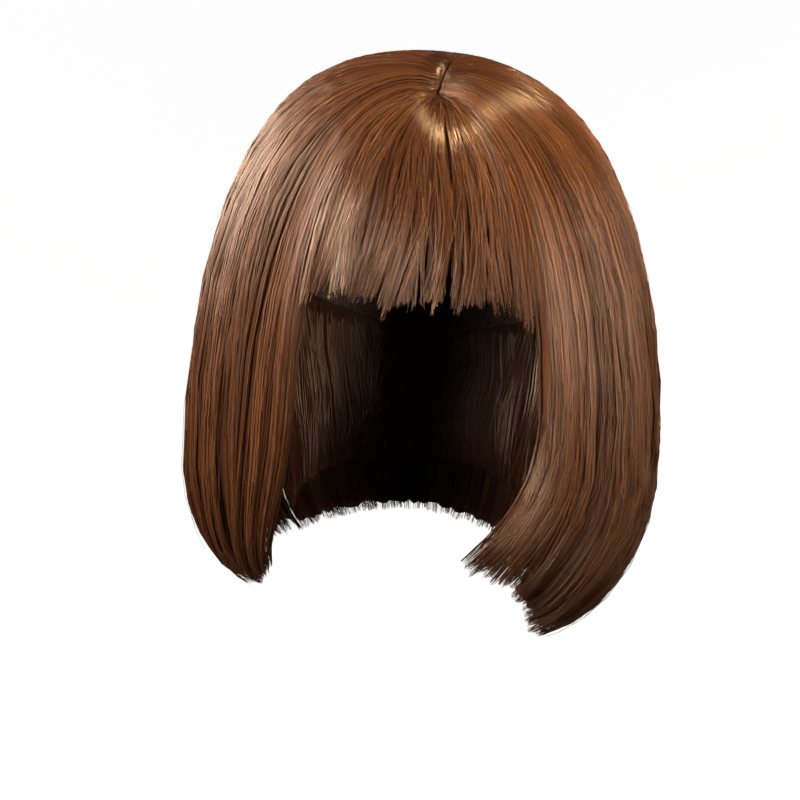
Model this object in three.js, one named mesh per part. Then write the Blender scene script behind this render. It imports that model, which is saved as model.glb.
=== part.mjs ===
// A chin-length bob wig with a full fringe and a short parting, in millimetres.
// +Z is up, -Y is the face side and +X is the wearer's left. The origin is the inside of the
// cap's crown, where the top of the head meets it. Azimuths are in degrees round +Z, from 0 at
// the face to 180 at the nape, positive towards the wearer's left.
import * as THREE from "three";

// The head that the wig is made for
const headHalfWidth = 77;
const headHalfLength = 96;
const crownToWidest = 88; // from the top of the head down to its widest level
const widestToBase = 150; // how far down the skull would close below that level

// The cap and the strip that the parting is sewn on
const capThickness = 1.5;
const stripThickness = 1;
const stripHalfWidth = 6;
const seatGap = 0.8; // between the strip and the hair that is rooted on it
const sewnGap = 0.3; // between pieces that are sewn face to face

// The parting
const partingSide = 6; // how far it is from the middle, towards the wearer's left
const partingFront = -46;
const partingBack = 24;
const partingHalfGap = 1.4;
const partingDip = 4; // how far the hair drops towards the parting
const dipReach = 9; // how far from the parting the drop is felt

// The hair
const crownRise = 23; // top of the hair above the top of the head
const sideDrop = 222; // from the top of the hair to the level where the sides are widest
const longestDrop = 319; // from the top of the hair to the longest tips
const hairThickness = 30; // of the side curtains, the fullest part
const napeThickness = 5;
const looseness = 22; // air between the nape layer and the side curtains
const tipTuckDepth = 64; // how far the longest tips turn in under the sides
const napeTuckDepth = 14; // how far the tips of the nape layer turn in
const fringeDrop = 110; // from the top of the hair to the fringe's cut edge
const tipThickness = 2.5;
const lockDepth = 4; // depth of the groove between two locks
const grooveStart = 0.3; // share of the length over which the grooves deepen from the roots
const tipNotch = 16; // depth of the gap between the tips of two locks
const sideGap = 0.8; // between neighbouring sections

// The form of the hair round the head. Thickness is a share of hairThickness, air of looseness,
// widest of sideDrop, tip of longestDrop, tuck of tipTuckDepth and square of domePower.
const formRows = [
  { azimuth: -180, thickness: 0.58, air: 0.4, widest: 0.67, tip: 0.9, tuck: 0.62, square: 0.9 },
  { azimuth: -130, thickness: 0.75, air: 0.58, widest: 0.81, tip: 0.915, tuck: 0.64, square: 0.92 },
  { azimuth: -90, thickness: 1, air: 0.7, widest: 1, tip: 0.935, tuck: 0.54, square: 0.91 },
  { azimuth: -70, thickness: 0.72, air: 0.4, widest: 0.95, tip: 0.93, tuck: 0.5, square: 0.92 },
  { azimuth: -45, thickness: 0.3, air: 0, widest: 0.81, tip: 0.86, tuck: 0.3, square: 0.9 },
  { azimuth: 0, thickness: 0.33, air: 0, widest: 0.59, tip: 0.79, tuck: 0.2, square: 0.9 },
  { azimuth: 45, thickness: 0.3, air: 0, widest: 0.81, tip: 0.88, tuck: 0.32, square: 0.86 },
  { azimuth: 70, thickness: 0.72, air: 0.42, widest: 0.95, tip: 0.985, tuck: 0.7, square: 0.8 },
  { azimuth: 90, thickness: 1, air: 0.92, widest: 1, tip: 1, tuck: 0.96, square: 0.79 },
  { azimuth: 130, thickness: 0.75, air: 0.58, widest: 0.81, tip: 0.945, tuck: 0.75, square: 0.82 },
  { azimuth: 180, thickness: 0.58, air: 0.4, widest: 0.67, tip: 0.9, tuck: 0.62, square: 0.9 },
];

// The edge of the cap, as the angle from straight up, seen from the middle of the head
const capEdgeRows = [
  { azimuth: -180, angle: 125 },
  { azimuth: -125, angle: 113 },
  { azimuth: -95, angle: 94 },
  { azimuth: -68, angle: 100 },
  { azimuth: -40, angle: 76 },
  { azimuth: 0, angle: 68 },
  { azimuth: 40, angle: 76 },
  { azimuth: 68, angle: 100 },
  { azimuth: 95, angle: 94 },
  { azimuth: 125, angle: 113 },
  { azimuth: 180, angle: 125 },
];

// The fringe's cut edge from the wearer's right to left: each drop is a share of fringeDrop.
const fringeRows = [
  { across: 0, drop: 1.12 },
  { across: 0.2, drop: 0.98 },
  { across: 0.5, drop: 1.02 },
  { across: 0.8, drop: 1 },
  { across: 1, drop: 1.16 },
];

const domePower = 3.4; // squareness of the hair's outline from the front
const headPower = 2.3;
const planPower = 2.2;
const tipTurn = 82 * THREE.MathUtils.DEG2RAD; // how far the tips turn in from straight down
const domeShare = 0.7; // share of the rows that lie above the widest level
const rootCrowding = 1.6; // how much closer the rows lie near the roots

const hairColor = 0x5a3220;
const capColor = 0x2a1a14;

const radians = THREE.MathUtils.degToRad;
const ease = THREE.MathUtils.smoothstep;
const lerp = THREE.MathUtils.lerp;

// The value of a table's column between its rows, on a smooth curve through them. A table that
// goes round the head joins up with itself.
function tableValue(rows, at, column, where) {
  const round = at === "azimuth";
  const span = rows.at(-1)[at] - rows[0][at];
  const x = round
    ? THREE.MathUtils.euclideanModulo(where - rows[0][at], span) + rows[0][at]
    : THREE.MathUtils.clamp(where, rows[0][at], rows.at(-1)[at]);
  const last = rows.length - 1;
  let i = 0;
  while (i < last - 1 && x > rows[i + 1][at]) i++;
  const slope = (k) => {
    const before = k > 0 ? rows[k - 1] : round ? rows[last - 1] : rows[0];
    const after = k < last ? rows[k + 1] : round ? rows[1] : rows[last];
    const low = k > 0 ? before[at] : round ? before[at] - span : before[at];
    const high = k < last ? after[at] : round ? after[at] + span : after[at];
    return (after[column] - before[column]) / (high - low);
  };
  const step = rows[i + 1][at] - rows[i][at];
  const t = (x - rows[i][at]) / step;
  const [t2, t3] = [t * t, t * t * t];
  return (
    (2 * t3 - 3 * t2 + 1) * rows[i][column] +
    (t3 - 2 * t2 + t) * step * slope(i) +
    (3 * t2 - 2 * t3) * rows[i + 1][column] +
    (t3 - t2) * step * slope(i + 1)
  );
}

// A point on the head's form, made bigger by extra on every side, in the direction that leaves
// the middle of the head at this azimuth and this angle from straight up.
function headPoint(azimuth, angle, extra) {
  const across = Math.sin(radians(azimuth)) * Math.sin(angle);
  const along = -Math.cos(radians(azimuth)) * Math.sin(angle);
  const up = Math.cos(angle);
  const direction = new THREE.Vector3(across, along, up);
  return onHead(direction, extra);
}

function onHead(direction, extra) {
  const plan =
    (Math.abs(direction.x) / (headHalfWidth + extra)) ** planPower +
    (Math.abs(direction.y) / (headHalfLength + extra)) ** planPower;
  const height = direction.z > 0 ? crownToWidest + extra : widestToBase + extra;
  const reach = plan ** (headPower / planPower) + (Math.abs(direction.z) / height) ** headPower;
  const middle = new THREE.Vector3(0, 0, -crownToWidest);
  return middle.addScaledVector(direction, reach ** (-1 / headPower));
}

// The point this deep under a surface point, or on the head's form, made bigger by extra, where
// that is met first
function clearOfHead(point, normal, depth, extra) {
  const middle = new THREE.Vector3(0, 0, -crownToWidest);
  const below = (distance) => point.clone().addScaledVector(normal, -distance);
  const isInside = (place) => {
    const direction = place.clone().sub(middle);
    return onHead(direction, extra).sub(middle).length() > direction.length();
  };
  if (!isInside(below(depth))) return below(depth);
  let [near, far] = [0, depth];
  for (let i = 0; i < 20; i++) {
    const half = (near + far) / 2;
    if (isInside(below(half))) far = half;
    else near = half;
  }
  return below(near);
}

const capOutside = capThickness + sewnGap;
const rootSeat = capOutside + stripThickness + seatGap;

function headRadius(azimuth) {
  const across = Math.abs(Math.sin(radians(azimuth))) / headHalfWidth;
  const along = Math.abs(Math.cos(radians(azimuth))) / headHalfLength;
  return (across ** planPower + along ** planPower) ** (-1 / planPower);
}

// The outside of the hair at one azimuth: how far out and how low it is widest, and its tips
function hairForm(azimuth) {
  const of = (column) => tableValue(formRows, "azimuth", column, azimuth);
  const thickness = of("thickness") * hairThickness;
  const inside = headRadius(azimuth) + capOutside + napeThickness + sewnGap;
  return {
    thickness,
    reach: inside + thickness + of("air") * looseness,
    widest: crownRise - of("widest") * sideDrop,
    tip: crownRise - of("tip") * longestDrop,
    tuck: of("tuck") * tipTuckDepth,
    power: of("square") * domePower,
  };
}

function polar(radius, azimuth, z) {
  const turn = radians(azimuth);
  return new THREE.Vector3(radius * Math.sin(turn), -radius * Math.cos(turn), z);
}

const azimuthOf = (x, y) => THREE.MathUtils.radToDeg(Math.atan2(x, -y));

// A point of a strand that leaves root, a point in plan, and comes down at this azimuth. The
// course is 0 at the root, 1 at the widest level and 2 at the tip.
function strandPoint(root, azimuth, course, { domeSweep = 0, tipSweep = 0 }) {
  const turn = (course * Math.PI) / 2;
  if (course > 1) {
    const turned = azimuth + domeSweep + tipSweep * ease(course, 1, 2);
    const form = hairForm(turned);
    const bend = (course - 1) * tipTurn;
    const inward = (1 - Math.cos(bend)) / (1 - Math.cos(tipTurn));
    const down = Math.sin(bend) / Math.sin(tipTurn);
    return polar(form.reach - form.tuck * inward, turned, lerp(form.widest, form.tip, down));
  }
  const { reach, power } = hairForm(azimuth);
  const plan = root.clone().lerp(polar(reach, azimuth, 0), Math.sin(turn) ** (2 / power));
  const found = azimuthOf(plan.x, plan.y);
  const share = Math.min(plan.length() / hairForm(found).reach, 1);
  const turned = found + domeSweep * course ** 3;
  const form = hairForm(turned);
  const rise = Math.sqrt(1 - share ** form.power);
  return polar(share * form.reach, turned, lerp(form.widest, crownRise, rise));
}

// How far a point lies outside the dome of the hair, with 0 on it
function domeLevel(point) {
  const form = hairForm(azimuthOf(point.x, point.y));
  const share = Math.hypot(point.x, point.y) / form.reach;
  return share ** form.power + ((point.z - form.widest) / (crownRise - form.widest)) ** 2 - 1;
}

// Straight out of the hair at a point of a strand that runs onward. Sections that meet have the
// same normals there, so that their edges lie side by side.
function hairNormal(point, onward, course) {
  if (course > 1) {
    const azimuth = azimuthOf(point.x, point.y);
    const round = polar(hairForm(azimuth + 1).reach, azimuth + 1, 0);
    round.sub(polar(hairForm(azimuth - 1).reach, azimuth - 1, 0));
    return onward.clone().cross(round).normalize();
  }
  const change = (axis) => {
    const step = new THREE.Vector3().setComponent(axis, 0.01);
    return domeLevel(point.clone().add(step)) - domeLevel(point.clone().sub(step));
  };
  return new THREE.Vector3(change(0), change(1), change(2)).normalize();
}

// A repeatable number from 0 to 1 for each lock of a section
function scatter(seed) {
  return THREE.MathUtils.euclideanModulo(Math.sin(seed * 12.9898) * 43758.5453, 1);
}

// Where the columns of a section lie across it: five to a lock, from groove to groove. The
// crest is 0 in the groove and 1 along the middle of a lock.
function lockColumns(locks, seed) {
  const crests = [
    { at: 0, crest: 0 },
    { at: 0.2, crest: 0.75 },
    { at: 0.5, crest: 1 },
    { at: 0.8, crest: 0.75 },
  ];
  const border = (k) => (k + (k > 0 && k < locks ? 0.4 * (scatter(seed + k) - 0.5) : 0)) / locks;
  const columns = [];
  for (let k = 0; k < locks; k++) {
    const short = scatter(seed + 50 + k);
    const height = lerp(0.6, 1, scatter(seed + 90 + k));
    for (const { at, crest } of crests)
      columns.push({
        across: lerp(border(k), border(k + 1), at),
        crest: crest * height,
        short: crest > 0 ? short : 0,
      });
  }
  columns.push({ across: 1, crest: 0, short: 0 });
  return columns;
}

// One closed solid between two grids of points, the outside and the inside of a sheet
function sheetSolid(outside, inside) {
  const [columns, rows] = [outside.length, outside[0].length];
  const points = [...outside.flat(), ...inside.flat()];
  const index = [];
  const quad = (a, b, c, d) => index.push(a, b, c, a, c, d);
  const out = (i, j) => i * rows + j;
  const inn = (i, j) => columns * rows + i * rows + j;
  for (let i = 0; i + 1 < columns; i++)
    for (let j = 0; j + 1 < rows; j++) {
      quad(out(i, j), out(i, j + 1), out(i + 1, j + 1), out(i + 1, j));
      quad(inn(i, j), inn(i + 1, j), inn(i + 1, j + 1), inn(i, j + 1));
    }
  for (let i = 0; i + 1 < columns; i++) {
    quad(out(i, 0), out(i + 1, 0), inn(i + 1, 0), inn(i, 0));
    quad(out(i + 1, rows - 1), out(i, rows - 1), inn(i, rows - 1), inn(i + 1, rows - 1));
  }
  for (let j = 0; j + 1 < rows; j++) {
    quad(out(0, j + 1), out(0, j), inn(0, j), inn(0, j + 1));
    quad(out(columns - 1, j + 1), inn(columns - 1, j + 1), inn(columns - 1, j), out(columns - 1, j));
  }
  return new THREE.BufferGeometry().setFromPoints(points).setIndex(index);
}

// A section of hair, rooted along the parting and cut into locks. Its path gives the middle of
// the outside at a share across and a share along.
function sectionSolid({ locks, rows, seed, path, thicknessAt, seat, notch }) {
  const step = 1e-3; // a small share, for directions on the surface
  const columns = lockColumns(locks, seed);
  const [outside, inside] = [[], []];
  for (const { across, crest, short } of columns) {
    const [outer, inner] = [[], []];
    const length = path.length(across);
    const cut = 1 - ((1 - crest) * notch + short * notch) / length;
    for (let j = 0; j <= rows; j++) {
      const along = (cut * j) / rows;
      const [u, v] = [lerp(step, 1 - step, across), lerp(step, 1 - step, along)];
      const sideways = path.point(u + step, v).sub(path.point(u - step, v));
      const onward = path.point(u, v + step).sub(path.point(u, v - step));
      const normal = path.normal(path.point(u, v), onward, v);
      const side = normal.clone().cross(onward).normalize();
      if (side.dot(sideways) < 0) side.negate();
      const dip = path.dip(u, v);
      const groove = lockDepth * (1 - crest) * ease(along, 0, grooveStart);
      const middle = path.point(u, v).addScaledVector(side, (0.5 - across) * sideGap);
      const thickness = thicknessAt(u, v, middle);
      outer.push(middle.clone().addScaledVector(normal, -dip - Math.min(groove, 0.5 * thickness)));
      inner.push(clearOfHead(middle.addScaledVector(normal, -dip), normal, thickness, seat));
    }
    outside.push(outer);
    inside.push(inner);
  }
  return sheetSolid(outside, inside);
}

// The outline of the roots round the parting, as a point in plan. From 0 to 1 is the front end,
// from the wearer's right to left; 1 to 2 the left edge; 2 to 3 the back end; 3 to 4 the right.
function rootPoint(place) {
  const stretch = Math.floor(THREE.MathUtils.euclideanModulo(place, 4));
  const t = THREE.MathUtils.euclideanModulo(place, 1);
  const turned = (turn, y) => {
    const x = partingSide - partingHalfGap * Math.cos(turn);
    return new THREE.Vector3(x, y - partingHalfGap * Math.sin(turn), 0);
  };
  if (stretch === 0) return turned(t * Math.PI, partingFront);
  if (stretch === 2) return turned(Math.PI + t * Math.PI, partingBack);
  const side = stretch === 1 ? partingHalfGap : -partingHalfGap;
  const y = stretch === 1 ? lerp(partingFront, partingBack, t) : lerp(partingBack, partingFront, t);
  return new THREE.Vector3(partingSide + side, y, 0);
}

// The long sections. Each fans from its roots to its azimuths, and its tips sweep round by the
// two tip sweeps. The face edge is the one that thins towards the face.
const leftLock = { locks: 3, roots: [0.9, 1.15], azimuths: [47, 61], sweeps: [-28, -12], faceEdge: 0 };
const rightLock = { locks: 3, roots: [3.85, 4.1], azimuths: [302, 322], sweeps: [-8, -20], faceEdge: 1 };
const longRows = [
  { name: "front_lock_left", ...leftLock },
  { name: "side_left", locks: 8, roots: [1.15, 2.1], azimuths: [61, 128], sweeps: [-12, 0] },
  { name: "back", locks: 10, roots: [2.1, 2.9], azimuths: [128, 232], sweeps: [0, 0] },
  { name: "side_right", locks: 8, roots: [2.9, 3.85], azimuths: [232, 302], sweeps: [0, -8] },
  { name: "front_lock_right", ...rightLock },
];

function courseOf(along) {
  if (along < domeShare) return (along / domeShare) ** rootCrowding;
  return 1 + (along - domeShare) / (1 - domeShare);
}

// How far the hair drops at a point of a strand, because it is near the parting
function dipAt(root, point) {
  const away = Math.hypot(point.x - root.x, point.y - root.y);
  return partingDip * Math.exp(-((away / dipReach) ** 2));
}

// Over the roots the hair fills the space down to the cap, and it thins towards its tips.
function thicknessOf(full, course, along, edge) {
  const filled = full + crownRise * (1 - ease(course, 0.05, 0.4));
  return lerp(filled, tipThickness, ease(along, 0.55, 1) ** 2) * edge;
}

function longSection({ name, locks, roots, azimuths, sweeps, faceEdge }, i) {
  const root = (u) => rootPoint(lerp(...roots, u));
  const path = {
    point: (u, v) =>
      strandPoint(root(u), lerp(...azimuths, u), courseOf(v), { tipSweep: lerp(...sweeps, u) }),
    normal: (point, onward, v) => hairNormal(point, onward, courseOf(v)),
    dip: (u, v) => dipAt(root(u), path.point(u, v)),
    length: () => longestDrop,
  };
  const thicknessAt = (u, v, point) => {
    const edgeDistance = faceEdge === undefined ? 1 : Math.abs(u - faceEdge);
    const edge = lerp(1, lerp(0.45, 1, ease(edgeDistance, 0, 0.6)), ease(courseOf(v), 0.3, 0.7));
    return thicknessOf(hairForm(azimuthOf(point.x, point.y)).thickness, courseOf(v), v, edge);
  };
  const shape = { locks, rows: 13, seed: 7 * i + 1, path, thicknessAt, seat: rootSeat, notch: tipNotch };
  return { name, geometry: sectionSolid(shape) };
}

// The fringe fans from the front end of the parting, and its tips are combed to one side.
function fringeSection() {
  const [rightEdge, leftEdge] = [-38, 47];
  const sweep = -7;
  const root = (u) => rootPoint(lerp(0.1, 0.9, u));
  const lastCourse = (u) => {
    const form = hairForm(lerp(rightEdge, leftEdge, u));
    const z = crownRise - tableValue(fringeRows, "across", "drop", u) * fringeDrop;
    return Math.acos((z - form.widest) / (crownRise - form.widest)) / (Math.PI / 2);
  };
  const courseAt = (u, v) => v ** rootCrowding * lastCourse(u);
  const inner = (u) => 4 * u * (1 - u);
  const path = {
    point: (u, v) => {
      const domeSweep = sweep * inner(u);
      return strandPoint(root(u), lerp(rightEdge, leftEdge, u), courseAt(u, v), { domeSweep });
    },
    normal: (point, onward) => hairNormal(point, onward, 0),
    dip: (u, v) => dipAt(root(u), path.point(u, v)),
    length: () => fringeDrop,
  };
  const thicknessAt = (u, v, point) =>
    thicknessOf(hairForm(azimuthOf(point.x, point.y)).thickness, courseAt(u, v), v, 1);
  const shape = { locks: 10, rows: 9, seed: 61, path, thicknessAt, seat: rootSeat, notch: tipNotch / 3 };
  return { name: "fringe", geometry: sectionSolid(shape) };
}

// The nape layer is sewn round the outside of the cap's lower edge, and hangs close to the neck.
function napeLayer() {
  const azimuths = [82, 278];
  const overlap = radians(5); // how far above the cap's edge it is sewn
  const drop = 0.88; // the tips of the nape layer, as a share of the drop of those over them
  const path = {
    point: (u, v) => {
      const azimuth = lerp(...azimuths, u);
      const edge = radians(tableValue(capEdgeRows, "azimuth", "angle", azimuth));
      const top = headPoint(azimuth, edge - overlap, capOutside + napeThickness);
      const bottom = crownRise - drop * tableValue(formRows, "azimuth", "tip", azimuth) * longestDrop;
      const radius = Math.hypot(top.x, top.y);
      return polar(radius - napeTuckDepth * ease(v, 0.1, 1), azimuth, lerp(top.z, bottom, v));
    },
    normal: (point) => point.clone().setZ(0).normalize(),
    dip: () => 0,
    length: () => longestDrop / 2,
  };
  const thicknessAt = (u, v) => lerp(napeThickness, tipThickness, v);
  const shape = { locks: 10, rows: 6, seed: 83, path, thicknessAt, seat: capOutside, notch: tipNotch };
  return { name: "nape_layer", geometry: sectionSolid(shape) };
}

// The cap is a hollow dome with a shaped edge: rings of points outside and inside, joined at
// the edge and closed at the crown.
function wigCap() {
  const [around, rings] = [36, 9];
  const points = [];
  const index = [];
  const quad = (a, b, c, d) => index.push(a, b, c, a, c, d);
  const surface = (extra) => {
    const first = points.length;
    points.push(headPoint(0, 0, extra));
    for (let j = 1; j <= rings; j++)
      for (let i = 0; i < around; i++) {
        const azimuth = (360 * i) / around;
        const edge = radians(tableValue(capEdgeRows, "azimuth", "angle", azimuth));
        points.push(headPoint(azimuth, (edge * j) / rings, extra));
      }
    return (j, i) => (j === 0 ? first : first + 1 + (j - 1) * around + (i % around));
  };
  const [outer, inner] = [surface(capThickness), surface(0)];
  for (let i = 0; i < around; i++) {
    index.push(outer(0, 0), outer(1, i), outer(1, i + 1));
    index.push(inner(0, 0), inner(1, i + 1), inner(1, i));
    for (let j = 1; j < rings; j++) {
      quad(outer(j, i), outer(j + 1, i), outer(j + 1, i + 1), outer(j, i + 1));
      quad(inner(j, i), inner(j, i + 1), inner(j + 1, i + 1), inner(j + 1, i));
    }
    quad(outer(rings, i), inner(rings, i), inner(rings, i + 1), outer(rings, i + 1));
  }
  const geometry = new THREE.BufferGeometry().setFromPoints(points).setIndex(index);
  return { name: "wig_cap", geometry };
}

// The strip lies on the crown of the cap, under the roots of the hair on both sides.
function partingStrip() {
  const [steps, across] = [14, 4];
  const surface = (extra) => {
    const columns = [];
    for (let i = 0; i <= across; i++) {
      const x = partingSide + lerp(-stripHalfWidth, stripHalfWidth, i / across);
      const column = [];
      for (let j = 0; j <= steps; j++) {
        const y = lerp(partingBack + stripHalfWidth, partingFront - stripHalfWidth, j / steps);
        column.push(overHead(x, y, extra));
      }
      columns.push(column);
    }
    return columns;
  };
  const geometry = sheetSolid(surface(capOutside + stripThickness), surface(capOutside));
  return { name: "parting_strip", geometry };
}

// The point of the head's form, made bigger by extra, straight above a point in plan
function overHead(x, y, extra) {
  const across = Math.abs(x) / (headHalfWidth + extra);
  const along = Math.abs(y) / (headHalfLength + extra);
  const plan = across ** planPower + along ** planPower;
  const rise = (1 - plan ** (headPower / planPower)) ** (1 / headPower);
  return new THREE.Vector3(x, y, (crownToWidest + extra) * rise - crownToWidest);
}

const hair = new THREE.MeshStandardMaterial({ color: hairColor, roughness: 0.45, metalness: 0 });
const net = new THREE.MeshStandardMaterial({ color: capColor, roughness: 0.9, metalness: 0 });

function piece({ name, geometry }, material) {
  geometry.computeVertexNormals();
  const mesh = new THREE.Mesh(geometry, material);
  mesh.name = name;
  return mesh;
}

const wig = new THREE.Group();
wig.add(piece(wigCap(), net));
wig.add(piece(partingStrip(), net));
wig.add(piece(fringeSection(), hair));
wig.add(piece(napeLayer(), hair));
for (const [i, row] of longRows.entries()) wig.add(piece(longSection(row, i), hair));

export default wig;
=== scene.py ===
import math
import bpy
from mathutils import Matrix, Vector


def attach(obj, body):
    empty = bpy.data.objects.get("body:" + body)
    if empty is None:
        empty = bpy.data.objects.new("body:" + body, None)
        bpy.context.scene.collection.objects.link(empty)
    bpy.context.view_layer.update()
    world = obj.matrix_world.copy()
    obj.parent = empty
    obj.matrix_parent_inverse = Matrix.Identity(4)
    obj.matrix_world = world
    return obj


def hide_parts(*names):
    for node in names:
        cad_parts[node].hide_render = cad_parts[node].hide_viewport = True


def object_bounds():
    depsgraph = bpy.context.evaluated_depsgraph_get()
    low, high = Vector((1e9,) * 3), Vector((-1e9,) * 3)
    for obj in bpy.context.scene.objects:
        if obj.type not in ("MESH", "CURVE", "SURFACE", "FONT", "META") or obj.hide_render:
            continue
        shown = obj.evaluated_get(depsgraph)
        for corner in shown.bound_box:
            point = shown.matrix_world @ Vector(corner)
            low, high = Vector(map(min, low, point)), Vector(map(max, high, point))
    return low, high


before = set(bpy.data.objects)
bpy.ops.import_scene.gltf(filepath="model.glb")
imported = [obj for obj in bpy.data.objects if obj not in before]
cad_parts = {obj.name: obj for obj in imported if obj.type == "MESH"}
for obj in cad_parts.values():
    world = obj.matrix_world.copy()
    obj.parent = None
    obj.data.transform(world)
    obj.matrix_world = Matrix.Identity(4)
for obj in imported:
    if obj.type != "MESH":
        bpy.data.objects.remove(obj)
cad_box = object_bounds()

from types import SimpleNamespace

import bpy
import numpy as np
from bpy.props import FloatProperty, FloatVectorProperty, IntProperty, PointerProperty
from mathutils import Matrix, Vector

bl_info = {
    "name": "Bob Wig",
    "version": (1, 0, 0),
    "blender": (4, 5, 0),
    "location": "View3D > Sidebar > Bob Wig",
    "description": "Dresses a bob wig's sections with strands of hair, and sets the stage for it",
    "category": "Object",
}

MM = 0.001

# The form of the hair round the head, as the solids have it. Azimuths are in degrees round +Z,
# from 0 at the face, positive towards the wearer's left, and lengths are in millimetres.
HEAD_HALF_WIDTH = 77
HEAD_HALF_LENGTH = 96
CROWN_TO_WIDEST = 88
WIDEST_TO_BASE = 150
HEAD_POWER = 2.3
PLAN_POWER = 2.2
CAP_OUTSIDE = 1.8
PARTING_SIDE = 6
PARTING_FRONT = -46
PARTING_BACK = 24
PARTING_HALF_GAP = 1.4
PARTING_DIP = 4
DIP_REACH = 9
CROWN_RISE = 23
SIDE_DROP = 222
LONGEST_DROP = 319
HAIR_THICKNESS = 30
NAPE_THICKNESS = 5
NAPE_CLEARANCE = 0.3
NAPE_SEAM = 5  # how many degrees above the cap's edge the nape layer is sewn on
NAPE_DROP = 0.88  # its length, as a share of the back's
NAPE_TUCK = 14
LOOSENESS = 22
TIP_TUCK = 64
FRINGE_DROP = 110
DOME_POWER = 3.4
TIP_TURN = math.radians(82)
FORM = {
    "azimuth": (-180, -130, -90, -70, -45, 0, 45, 70, 90, 130, 180),
    "thickness": (0.58, 0.75, 1, 0.72, 0.3, 0.33, 0.3, 0.72, 1, 0.75, 0.58),
    "air": (0.4, 0.58, 0.7, 0.4, 0, 0, 0, 0.42, 0.92, 0.58, 0.4),
    "widest": (0.67, 0.81, 1, 0.95, 0.81, 0.59, 0.81, 0.95, 1, 0.81, 0.67),
    "tip": (0.9, 0.915, 0.935, 0.93, 0.86, 0.79, 0.88, 0.985, 1, 0.945, 0.9),
    "tuck": (0.62, 0.64, 0.54, 0.5, 0.3, 0.2, 0.32, 0.7, 0.96, 0.75, 0.62),
    "square": (0.9, 0.92, 0.91, 0.92, 0.9, 0.9, 0.86, 0.8, 0.79, 0.82, 0.9),
}
CAP_EDGE = {
    "azimuth": (-180, -125, -95, -68, -40, 0, 40, 68, 95, 125, 180),
    "angle": (125, 113, 94, 100, 76, 68, 76, 100, 94, 113, 125),
}
FRINGE_EDGE = {
    "across": (0, 0.2, 0.5, 0.8, 1),
    "drop": (1.12, 0.98, 1.02, 1, 1.16),
}


def ease(values, low, high):
    t = np.clip((values - low) / (high - low), 0, 1)
    return t * t * (3 - 2 * t)


def lerp(low, high, share):
    return low + (high - low) * share


def table_value(table, at, column, where):
    """A column of a table between its rows, on a smooth curve. Round the head it joins up."""
    knots, values = np.array(table[at], float), np.array(table[column], float)
    span = knots[-1] - knots[0]
    closed = at == "azimuth"
    if closed:
        where = (where - knots[0]) % span + knots[0]
        around = np.concatenate([[knots[-2] - span], knots, [knots[1] + span]])
        beside = np.concatenate([[values[-2]], values, [values[1]]])
    else:
        where = np.clip(where, knots[0], knots[-1])
        around = np.concatenate([[knots[0]], knots, [knots[-1]]])
        beside = np.concatenate([[values[0]], values, [values[-1]]])
    slope = (beside[2:] - beside[:-2]) / (around[2:] - around[:-2])
    i = np.clip(np.searchsorted(knots, where) - 1, 0, len(knots) - 2)
    step = knots[i + 1] - knots[i]
    t = (where - knots[i]) / step
    return (
        (2 * t**3 - 3 * t**2 + 1) * values[i]
        + (t**3 - 2 * t**2 + t) * step * slope[i]
        + (3 * t**2 - 2 * t**3) * values[i + 1]
        + (t**3 - t**2) * step * slope[i + 1]
    )


def polar(radius, azimuth, z):
    turn = np.radians(azimuth)
    return np.stack(np.broadcast_arrays(radius * np.sin(turn), -radius * np.cos(turn), z), -1)


def azimuth_of(x, y):
    return np.degrees(np.arctan2(x, -y))


def hair_form(azimuth):
    """The outside of the hair at an azimuth: how far out and how low it is widest, and its tips."""
    of = lambda column: table_value(FORM, "azimuth", column, azimuth)
    across = np.abs(np.sin(np.radians(azimuth))) / HEAD_HALF_WIDTH
    along = np.abs(np.cos(np.radians(azimuth))) / HEAD_HALF_LENGTH
    inside = (across**PLAN_POWER + along**PLAN_POWER) ** (-1 / PLAN_POWER)
    inside = inside + CAP_OUTSIDE + NAPE_THICKNESS + NAPE_CLEARANCE
    thickness = of("thickness") * HAIR_THICKNESS
    return SimpleNamespace(
        thickness=thickness,
        reach=inside + thickness + of("air") * LOOSENESS,
        widest=CROWN_RISE - of("widest") * SIDE_DROP,
        tip=CROWN_RISE - of("tip") * LONGEST_DROP,
        tuck=of("tuck") * TIP_TUCK,
        power=of("square") * DOME_POWER,
    )


def strand_point(root, azimuth, course, dome_sweep, tip_sweep):
    """A point of a strand: course is 0 at the root, 1 at the widest level and 2 at the tip."""
    turn = np.minimum(course, 1) * math.pi / 2
    side = hair_form(azimuth)
    rim = polar(side.reach, azimuth, 0)
    share_out = np.sin(turn) ** (2 / side.power)
    plan = root + (rim - root) * share_out[..., None]
    found = azimuth_of(plan[..., 0], plan[..., 1])
    share = np.minimum(np.hypot(plan[..., 0], plan[..., 1]) / hair_form(found).reach, 1)
    turned = found + dome_sweep * np.minimum(course, 1) ** 3
    form = hair_form(turned)
    rise = np.sqrt(1 - share**form.power)
    dome = polar(share * form.reach, turned, lerp(form.widest, CROWN_RISE, rise))
    below = np.clip(course - 1, 0, 1)
    turned = azimuth + dome_sweep + tip_sweep * ease(below, 0, 1)
    form = hair_form(turned)
    bend = below * TIP_TURN
    inward = (1 - np.cos(bend)) / (1 - math.cos(TIP_TURN))
    down = np.sin(bend) / math.sin(TIP_TURN)
    length = polar(form.reach - form.tuck * inward, turned, lerp(form.widest, form.tip, down))
    return np.where((course > 1)[..., None], length, dome)


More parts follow.
